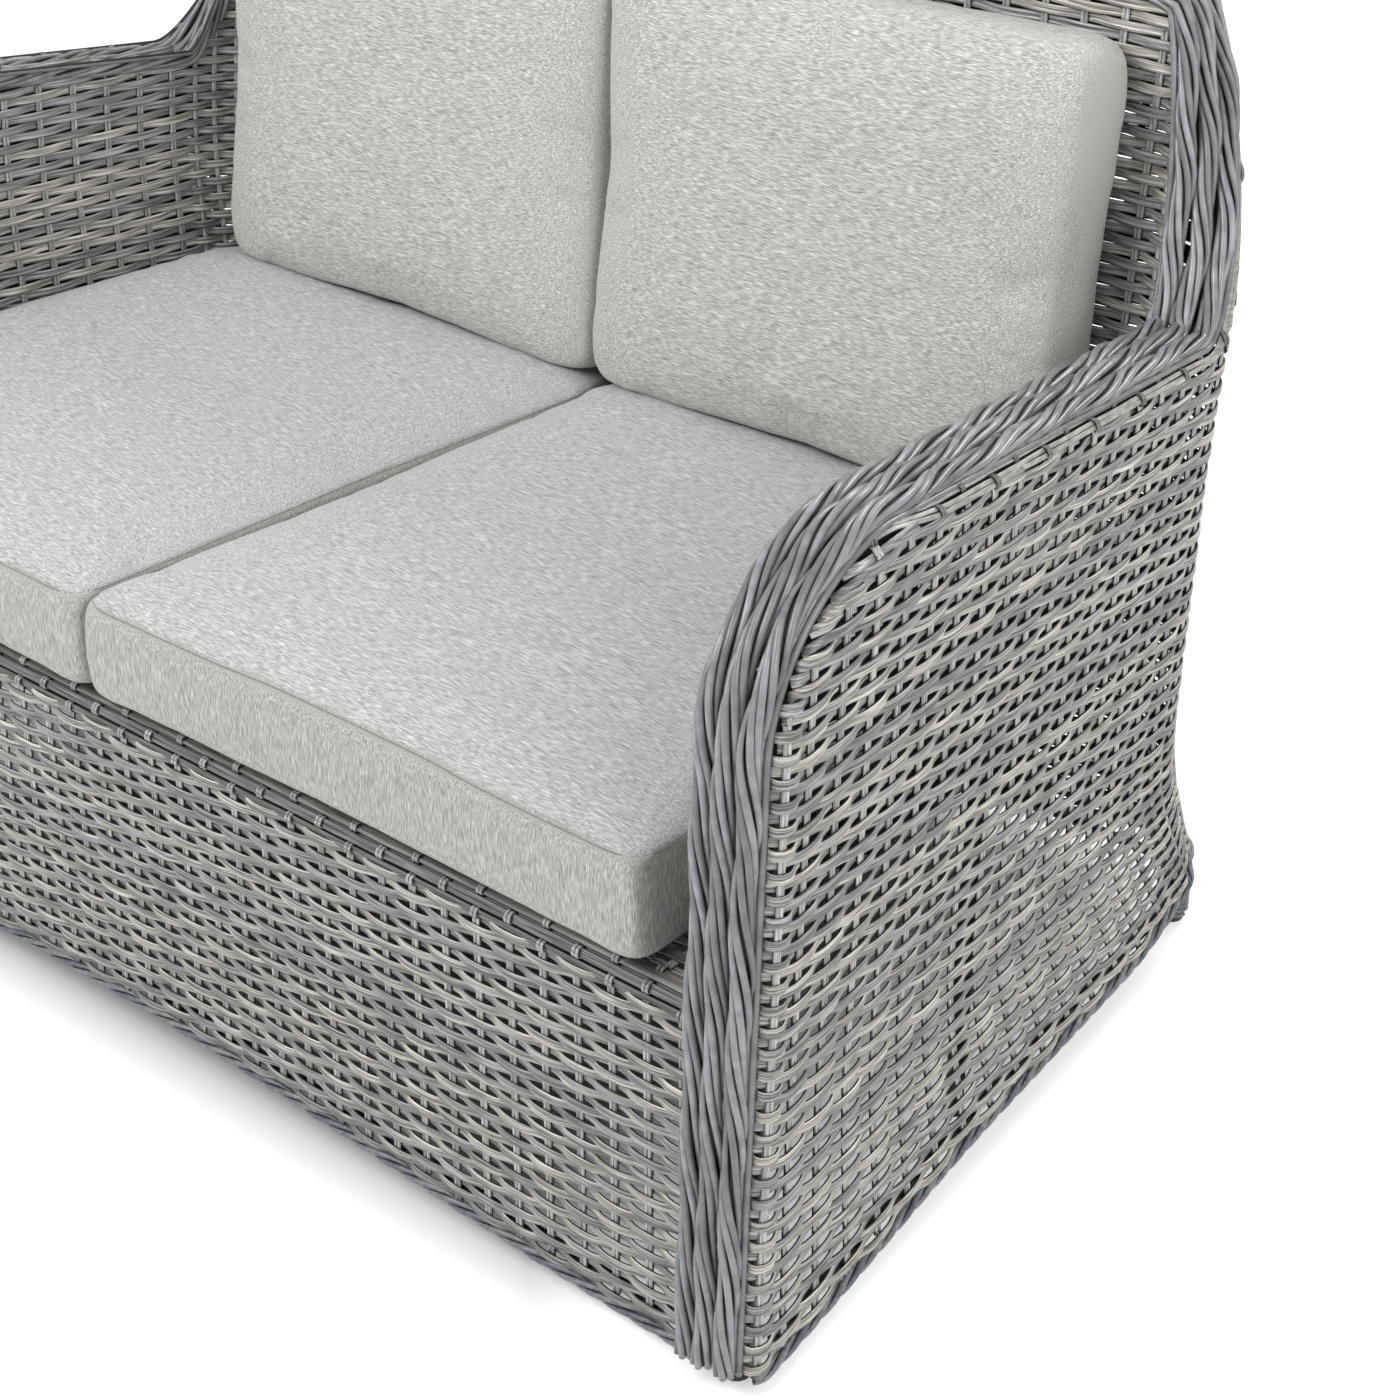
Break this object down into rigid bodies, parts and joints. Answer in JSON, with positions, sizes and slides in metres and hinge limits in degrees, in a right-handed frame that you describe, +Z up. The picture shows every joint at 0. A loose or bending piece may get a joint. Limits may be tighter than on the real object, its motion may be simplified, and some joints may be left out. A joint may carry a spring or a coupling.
{
  "type": "garden sofa",
  "caption": "Woven resin rattan garden sofa with plaited rims, wound feet, a hidden tube frame and loose boxed cushions in pale fabric.",
  "frame": {"origin": "floor, at the centre of the footprint of the whole sofa", "axes": "+X to the right of someone who faces the back of the seat from the front (the sitter's left), +Y to the rear, +Z up"},
  "size_m": [1.485, 0.8187, 0.8966],
  "materials": {
    "frame_aluminium": "powder-coated, hidden by the weave",
    "glide_plastic": "moulded black plastic",
    "rattan_strand": "grooved round resin strands in mixed greys and taupes, satin",
    "rattan_braid": "smooth bluish grey resin strands, satin",
    "cushion_fabric": "light warm grey melange outdoor canvas"
  },
  "bodies": {
    "body": {"arm_hoop_right": "frame_aluminium", "arm_hoop_left": "frame_aluminium", "rear_post_right": "frame_aluminium", "rear_post_left": "frame_aluminium", "back_top_tube": "frame_aluminium", "back_upright": "frame_aluminium", "front_rail": "frame_aluminium", "rear_rail": "frame_aluminium", "side_rail_right": "frame_aluminium", "side_rail_left": "frame_aluminium", "seat_bar_right": "frame_aluminium", "seat_bar_left": "frame_aluminium", "seat_bar_centre": "frame_aluminium", "arm_strut_right": "frame_aluminium", "arm_strut_left": "frame_aluminium", "side_bottom_rod_right": "frame_aluminium", "side_bottom_rod_left": "frame_aluminium", "front_bottom_rod": "frame_aluminium", "back_bottom_rod": "frame_aluminium", "front_glide_right": "glide_plastic", "front_glide_left": "glide_plastic", "rear_glide_right": "glide_plastic", "rear_glide_left": "glide_plastic", "foot_winding_right": "rattan_strand", "foot_winding_left": "rattan_strand", "front_panel": "rattan_strand", "rail_cap": "rattan_strand", "side_panel_right": "rattan_strand", "side_panel_left": "rattan_strand", "arm_inner_panel_right": "rattan_strand", "arm_inner_panel_left": "rattan_strand", "back_outer_panel": "rattan_strand", "back_inner_panel": "rattan_strand", "seat_deck": "rattan_strand", "arm_braid_right": "rattan_braid", "arm_braid_left": "rattan_braid", "back_braid": "rattan_braid", "side_rope_right": "rattan_braid", "side_rope_left": "rattan_braid", "front_rope": "rattan_braid", "back_rope": "rattan_braid"},
    "seat_cushion_right": {"seat_cushion_right": "cushion_fabric"},
    "seat_cushion_left": {"seat_cushion_left": "cushion_fabric"},
    "back_cushion_right": {"back_cushion_right": "cushion_fabric"},
    "back_cushion_left": {"back_cushion_left": "cushion_fabric"}
  },
  "joints": [
    {"name": "seat_cushion_right_pull", "type": "slide", "parent": "body", "child": "seat_cushion_right", "axis": [0, -0.9998, 0.0175], "range_m": [0, 0.3]},
    {"name": "seat_cushion_left_pull", "type": "slide", "parent": "body", "child": "seat_cushion_left", "axis": [0, -0.9998, 0.0175], "range_m": [0, 0.3]},
    {"name": "back_cushion_right_lift", "type": "slide", "parent": "body", "child": "back_cushion_right", "axis": [0, 0, 1], "range_m": [0, 0.35]},
    {"name": "back_cushion_left_lift", "type": "slide", "parent": "body", "child": "back_cushion_left", "axis": [0, 0, 1], "range_m": [0, 0.35]}
  ]
}
